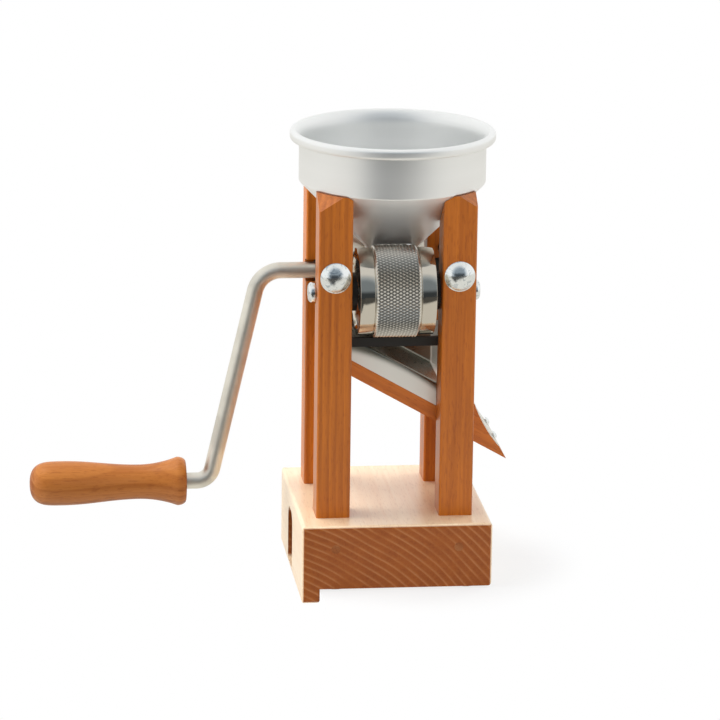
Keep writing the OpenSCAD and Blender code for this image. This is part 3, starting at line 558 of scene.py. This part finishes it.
def make_crank():
    low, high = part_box("crank_bar")
    radius, lean, high_r, low_r = 0.0055, math.radians(12.9), 0.018, 0.011
    shaft_z, throw, corner_x = high.z - radius, 0.1464, -0.05225 - 0.031
    high_corner = Vector((corner_x, high.y - radius, shaft_z))
    arm = Vector((-math.sin(lean), 0, -math.cos(lean)))
    low_corner = high_corner + arm * throw / math.cos(lean)
    sweep = math.pi / 2 - lean
    trims = [r * math.tan(sweep / 2) for r in (high_r, low_r)]
    bm = bmesh.new()
    start = Vector((high.x, high_corner.y, shaft_z))
    ring = bmesh.ops.create_circle(bm, cap_ends=False, segments=40, radius=radius,
                                   matrix=Matrix.Translation(start) @ Matrix.Rotation(math.pi / 2, 4, "Y"))["verts"]
    first = list(ring)

    def draw(move, steps=1):
        nonlocal ring
        for _ in range(steps):
            edges = [e for e in bm.edges if all(v in ring for v in e.verts)]
            out = bmesh.ops.extrude_edge_only(bm, edges=edges)["geom"]
            ring = [g for g in out if isinstance(g, bmesh.types.BMVert)]
            bmesh.ops.translate(bm, verts=ring, vec=move / steps)

    def bend(centre, angle):
        nonlocal ring
        edges = [e for e in bm.edges if all(v in ring for v in e.verts)]
        out = bmesh.ops.spin(bm, geom=ring + edges, cent=centre, axis=(0, 1, 0), angle=angle, steps=14)
        ring = [g for g in out["geom_last"] if isinstance(g, bmesh.types.BMVert)]

    draw(high_corner + Vector((trims[0], 0, 0)) - start, 6)
    bend(high_corner + Vector((trims[0], 0, -high_r)), -sweep)
    draw(low_corner - high_corner - arm * (trims[0] + trims[1]), 6)
    bend(low_corner + Vector((-trims[1], 0, low_r)), sweep)
    spindle = Vector((low.x + 0.001, low_corner.y, low_corner.z))
    draw(spindle - (low_corner - Vector((trims[1], 0, 0))), 4)
    draw(Vector((-0.001, 0, 0)))
    bmesh.ops.scale(bm, vec=(1, 0.82, 0.82), verts=ring, space=Matrix.Translation(-spindle))
    bm.faces.new(ring)
    bm.faces.new(first)
    piece(bm, "crank_rod", bar_steel, "crank", "bar_steel", "crank_bar")


make_crank()


# ---- Grip
# Turned beech with a clear lacquer: a flare beside the crank, a waist for the fingers and a
# long belly with a rounded end. It turns freely on the crank's spindle.
def make_grip():
    low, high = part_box("crank_grip")
    centre = Vector((high.x, (low.y + high.y) / 2, (low.z + high.z) / 2))
    length, lip, flare, waist, belly = (high.x - low.x) * 1000, 13.2, 16.5, 11.7, 15.0
    flare_at, waist_at, belly_at, bore = 5.8, 31.7, 83.5, 5.6
    outline = [(-14, 0), (-14, bore), (-0.6, bore), (0, bore + 0.6)]

    def radius(s):
        if s < flare_at:
            return lip + (flare - lip) * math.sqrt(1 - (1 - s / flare_at) ** 2)
        if s < waist_at:
            return waist + (flare - waist) * ((waist_at - s) / (waist_at - flare_at)) ** 2
        if s < belly_at:
            return (waist + belly - (belly - waist) * math.cos(math.pi * (s - waist_at) / (belly_at - waist_at))) / 2
        return belly * max(0, 1 - ((s - belly_at) / (length - belly_at)) ** 4) ** 0.4

    steps = 72
    along = [length * (1 - math.cos(math.pi * i / steps)) / 2 for i in range(steps + 1)]
    outline += [(-s, radius(s)) for s in along]
    outline[0], outline[1] = (-14, 0), (-14, bore)
    bm = turned(outline, centre, (1, 0, 0), steps=96)
    wood = beech("grip_beech", (0.50, 0.18, 0.034), (0.34, 0.098, 0.014), (0.36, 0.11, 0.02),
                 pith=(0, 0.06, -0.03), turn=ALONG_X, pitch=0.006, rings=0.35, flecks=0.45, coat=0.3)
    piece(bm, "turned_grip", wood, "handle", "grip_beech", "crank_grip", crease=50)


make_grip()


# ---- Bolts, washers and wing nuts
# Zinc plated carriage bolts run through the post pairs from front to back. Wing nuts behind
# the back posts draw the pairs together and so set the gap between the rollers.
def join(bm, part):
    """Moves one mesh's faces into another."""
    mesh = bpy.data.meshes.new("part")
    part.to_mesh(mesh)
    part.free()
    bm.from_mesh(mesh)
    bpy.data.meshes.remove(mesh)


def make_bolts():
    low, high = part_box("carriage_bolts")
    front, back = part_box("front_left_post")[0].y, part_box("back_left_post")[1].y
    bm = bmesh.new()
    for x in (middle("left_wing_nut").x, middle("right_wing_nut").x):
        at = Vector((x, front, middle("left_wing_nut").z))
        head, rise = 10.2, (front - low.y) * 1000
        ball = (head * head + rise * rise) / (2 * rise)
        reach = math.asin(head / ball)
        dome = [(ball - rise - ball * math.cos(a), ball * math.sin(a))
                for a in (reach * (1 - i / 14) for i in range(15))]
        top = turned([(0.2, 4.2), (0.0, head - 0.6)] + [(min(s, -0.3), r) for s, r in dome[:1]] + dome[1:],
                     at, (0, 1, 0), steps=72)
        join(bm, top)
        neck = bmesh.new()
        box_mesh(neck, at + Vector((-0.004, 0, -0.004)), at + Vector((0.004, 0.0046, 0.004)))
        join(bm, neck)
        length = (high.y - front) * 1000
        shank = [(4, 4.0), ((back - front) * 1000 - 8, 4.0)]
        s = shank[-1][0]
        while s < length - 1.6:
            shank += [(s + 0.15, 3.95), (s + 0.6, 3.4), (s + 0.78, 3.4), (s + 1.2, 3.95)]
            s += 1.25
        shank += [(length - 0.8, 3.6), (length, 3.1), (length, 0)]
        join(bm, turned(shank, at, (0, 1, 0), steps=40))
    piece(bm, "carriage_bolts_pair", bright_zinc, "stand", "zinc", "carriage_bolts", crease=40)


make_bolts()


def make_washers():
    low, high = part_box("bolt_washers")
    bm = bmesh.new()
    for x in (middle("left_wing_nut").x, middle("right_wing_nut").x):
        ring = [(0, 4.3), (0, 10), (1.6, 10), (1.6, 4.3), (0, 4.3)]
        join(bm, turned(ring, (x, low.y, middle("left_wing_nut").z), (0, 1, 0), steps=56))
    ease(bm, 0.25, segments=2, sharper=60)
    piece(bm, "washers_pair", bright_zinc, "stand", "zinc", "bolt_washers")


make_washers()


def make_wing_nut(side):
    node = side + "_wing_nut"
    low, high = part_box(node)
    at = Vector((middle(node).x, low.y, middle(node).z))
    hub_d, tip_d, hub_h, span, ear_r, thick = 16, 12, 9, 38, 5, 3
    bm = turned([(0, 4.4), (0, hub_d / 2), (hub_h, tip_d / 2), (hub_h, 4.4), (hub_h - 0.5, 4.05), (0.5, 4.05),
                 (0, 4.4)], at, (0, 1, 0), steps=48)
    ear = Vector(((span / 2 - ear_r), 0, 0)), hub_h + ear_r / 2
    for way in (1, -1):
        wing = bmesh.new()
        outline = [(4.5, 0.6), (hub_d / 2, 0.6)]
        outline += [(ear[0].x + ear_r * math.cos(math.radians(a)), ear[1] + ear_r * math.sin(math.radians(a)))
                    for a in range(-40, 131, 10)]
        outline += [(4.5, hub_h - 0.5)]
        corners = [wing.verts.new((at.x - thick / 2000, at.y + y * 0.001, at.z + way * x * 0.001))
                   for x, y in outline]
        plate = wing.faces.new(corners)
        grown = bmesh.ops.extrude_face_region(wing, geom=[plate])["geom"]
        bmesh.ops.translate(wing, vec=(thick / 1000, 0, 0),
                            verts=[g for g in grown if isinstance(g, bmesh.types.BMVert)])
        bmesh.ops.recalc_face_normals(wing, faces=wing.faces)
        ease(wing, 0.8, segments=3, sharper=70)
        join(bm, wing)
    piece(bm, side + "_thumb_nut", bright_zinc, side + "_nut", "zinc", node)


make_wing_nut("left")
make_wing_nut("right")


# ---- Chute liner and its screws
# Thin steel sheet folded over the chute board: a floor with a leg on the nose, an apron in
# front of the board and a guard behind it. Small pan head screws hold it.
def chute_sheet(front, nose, slope, level):
    """Bright satin sheet on the apron in front, the nose and the guard's end. The floor and guard are painted dark
    as shade under the rollers, and painted shade runs along the apron's fold, which lies at level above the origin,
    and reaches further down towards the apron's sides."""
    metal = bpy.data.materials.new("liner_steel")
    metal.use_nodes = True
    tree = metal.node_tree
    tree.nodes.clear()
    place = add(tree, "TexCoord").outputs["Object"]
    spot = add(tree, "SeparateXYZ", place)
    drawn = add(tree, "Mapping", Vector=place, Scale=(60, 700, 700))
    lines = add(tree, "TexNoise", Vector=drawn.outputs[0], Scale=1.0, Detail=3.0).outputs[0]
    # Painted shade along the apron's fold: dark down to about 6 mm below the floor line, and deeper towards the
    # apron's sides.
    floor = math_node(tree, "SUBTRACT", level, math_node(tree, "MULTIPLY", spot.outputs["X"], math.tan(slope)))
    below = math_node(tree, "SUBTRACT", floor, spot.outputs["Z"])
    aside = math_node(tree, "DIVIDE", math_node(tree, "SUBTRACT", spot.outputs["X"], 0.010), 0.032)
    bow = math_node(tree, "MULTIPLY", math_node(tree, "POWER", math_node(tree, "ABSOLUTE", aside), 2.0), 0.0045)
    clear_of_painted_shade = fade(tree, math_node(tree, "SUBTRACT", below, bow), -0.0005, 0.006)
    apron = math_node(tree, "MULTIPLY", clear_of_painted_shade, fade(tree, spot.outputs["Y"], front, front + 0.0006, 1.0, 0.0))
    bright = math_node(tree, "MAXIMUM", apron, fade(tree, spot.outputs["X"], nose - 0.001, nose))
    # The dark tint is painted shade on the floor, on the guard and along the fold. The pale tint is the sheet's own
    # satin colour.
    tint = add(tree, "Mix", Factor=bright, settings={"data_type": "RGBA"})
    tint.inputs[6].default_value = (0.23, 0.22, 0.18, 1)
    tint.inputs[7].default_value = (0.78, 0.76, 0.69, 1)
    rough = math_node(tree, "ADD", fade(tree, lines, 0.3, 0.7, -0.04, 0.04), fade(tree, bright, 0, 1, 0.3, 0.5))
    bump = add(tree, "Bump", Strength=0.25, Distance=0.00002, Height=lines)
    shade = add(tree, "BsdfPrincipled", Base_Color=tint.outputs[2], Metallic=fade(tree, bright, 0, 1, 1.0, 0.4),
                Roughness=rough, Normal=bump.outputs[0])
    add(tree, "OutputMaterial", shade.outputs[0])
    return metal


liner_steel = chute_sheet(-0.0290, 0.0335, board_slope, 0.14707)


def make_liner():
    """Lays rows of points across the chute at each place along it, and gives the sheet its thickness."""
    sheet, fold, side, back = 0.9, 2.2, 29.65, 27.85
    slope, nose_slope, hollow = math.radians(29.4), math.radians(60), 1.6
    inner, guard_end, guard_bend, corner_x = 29.6, 39.25, 34.0, 55.65
    low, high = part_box("chute_liner")
    guard_top = middle("rear_roller").z * 1000 - 30.5 - 5

    def floor(x):
        return 147.07 - x * math.tan(slope)

    def rise(x):
        return max(0.0, guard_top - floor(x))

    bm = bmesh.new()
    angles = [math.radians(a) for a in range(0, 91, 15)]
    apron = [(-side, -15.8), (-side, -9.0)]
    apron += [(fold - side - fold * math.sin(a), fold * math.cos(a) - fold) for a in reversed(angles)]
    gutter = [(back - fold + fold * math.sin(a), fold - fold * math.cos(a)) for a in angles]

    def column(x, section):
        """The section's points at x; the gutter and the guard shrink to nothing at the guard's tip."""
        reach, corners = rise(x), []
        lift = min(1.0, reach / 6)
        turned_out = max(0.0, x - guard_bend) * 0.5
        for y, v in section:
            if y > 0 and v > 0:
                y -= turned_out * min(1.0, v / fold)
                v = reach if v > fold else v * lift
            corners.append(bm.verts.new((x / 1000, y / 1000, (floor(x) + v) / 1000)))
        return corners

    def lay(columns):
        for left, right in zip(columns, columns[1:]):
            for a, b, c, d in zip(left, right, right[1:], left[1:]):
                if len({tuple(round(q, 6) for q in v.co) for v in (a, b, c, d)}) > 2:
                    bm.faces.new((a, b, c, d))

    guard = gutter + [(back, 99)]
    tip = (147.07 - guard_top) / math.tan(slope)
    lay([column(x, apron + guard) for x in (-inner, tip, tip + 6, 0, 15, inner)])
    lay([column(x, [(-28.6, 0)] + apron[-1:] + guard) for x in (inner, guard_bend, guard_end)])
    nose_top = Vector((corner_x, floor(corner_x)))
    down = Vector((math.cos(nose_slope), -math.sin(nose_slope)))
    out = Vector((math.sin(nose_slope), math.cos(nose_slope)))
    path = [(guard_end, floor(guard_end)), (corner_x - 1.2, floor(corner_x - 1.2))]
    path += [tuple(nose_top + down * s - out * hollow * (1 - ((s - 17.5) / 17.5) ** 2))
             for s in (1.2, 4, 8, 12.5, 17.5, 22.5, 27, 31, 34.8)]
    lay([[bm.verts.new((x / 1000, y / 1000, z / 1000)) for y in (-28.6, fold - side, back - fold, 28.6)]
         for x, z in path])
    bmesh.ops.remove_doubles(bm, verts=bm.verts, dist=1e-6)
    bmesh.ops.solidify(bm, geom=bm.faces[:], thickness=sheet / 1000)
    piece(bm, "folded_liner", liner_steel, "stand", "liner_steel", "chute_liner", crease=22)


make_liner()
dress("liner_screws", bright_zinc)


# ---- Hopper
# Spun from one disc of aluminium and left satin: a hemmed rim, a short straight wall and a
# cone whose spout is cut to saddles that clear the rollers. It lies loose on the post tops.
def make_hopper():
    low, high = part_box("hopper")
    top, bottom = high.z * 1000, low.z * 1000
    axis_z, axis_y, clear = middle("rear_roller").z * 1000, middle("rear_roller").y * 1000, 31.2
    wall, mouth, rim, rim_h, sheet, spout = 62.1, 64.7, 68.3, 7, 1.2, 14.7
    slope = math.tan(math.radians(44.6))
    rim_z = top - rim_h
    shoulder = rim_z - 27.3
    spout_z = shoulder - (wall - spout) / slope
    lift = sheet * (1 / math.cos(math.radians(44.6)) - 1) / slope
    roll, drop = 2.5, 3
    quarter = [math.radians(a) for a in range(0, 91, 9)]
    lean = math.atan2(mouth - wall + sheet, rim_h + drop)
    bend = (rim_h + drop) / math.sin(2 * lean)
    section = [(bottom, spout), (spout_z, spout), (shoulder, wall), (rim_z - 1, wall)]
    section += [(rim_z - 1 + math.sin(a), wall + 1 - math.cos(a)) for a in quarter[1:]]
    section += [(rim_z + roll - roll * math.cos(a), rim - roll + roll * math.sin(a)) for a in quarter]
    section += [(top - roll + roll * math.sin(a), rim - roll + roll * math.cos(a)) for a in quarter]
    section += [(top, mouth + 0.5), (top - 0.15, mouth + 0.12)]
    section += [(rim_z - drop + bend * math.sin(2 * lean * (1 - k / 12)),
                 wall - sheet + bend * (1 - math.cos(2 * lean * (1 - k / 12)))) for k in range(1, 13)]
    section += [(shoulder + lift, wall - sheet), (spout_z + lift, spout - sheet), (bottom, spout - sheet),
                (bottom, spout)]
    centre = ((low.x + high.x) / 2, 0, 0)
    bm = turned(section, centre, (0, 0, 1), steps=160)
    ease(bm, 0.9, segments=4, sharper=40)
    satin = turned_metal("spun_aluminium", (0.95, 0.965, 0.945), 0.46, "Z", centre, depth=0.00004, marks=900.0,
                         spread=0.1, metallic=0.92)
    made = piece(bm, "spun_hopper", satin, "funnel", "spun_aluminium", "hopper", crease=45)
    for y in (-axis_y, axis_y):
        cutter = turned([(-90, 0), (-90, clear), (90, clear), (90, 0)], (0, y / 1000, axis_z / 1000), (1, 0, 0),
                        steps=160)
        bmesh.ops.recalc_face_normals(cutter, faces=cutter.faces)
        mesh = bpy.data.meshes.new("cutter")
        cutter.to_mesh(mesh)
        cutter.free()
        tool = bpy.data.objects.new("cutter", mesh)
        scene.collection.objects.link(tool)
        cut = made.modifiers.new("saddle", "BOOLEAN")
        cut.operation, cut.solver, cut.object = "DIFFERENCE", "EXACT", tool
        bpy.context.view_layer.update()
        shaped = bpy.data.meshes.new_from_object(made.evaluated_get(bpy.context.evaluated_depsgraph_get()))
        made.modifiers.clear()
        made.data = shaped
        bpy.data.objects.remove(tool)


make_hopper()
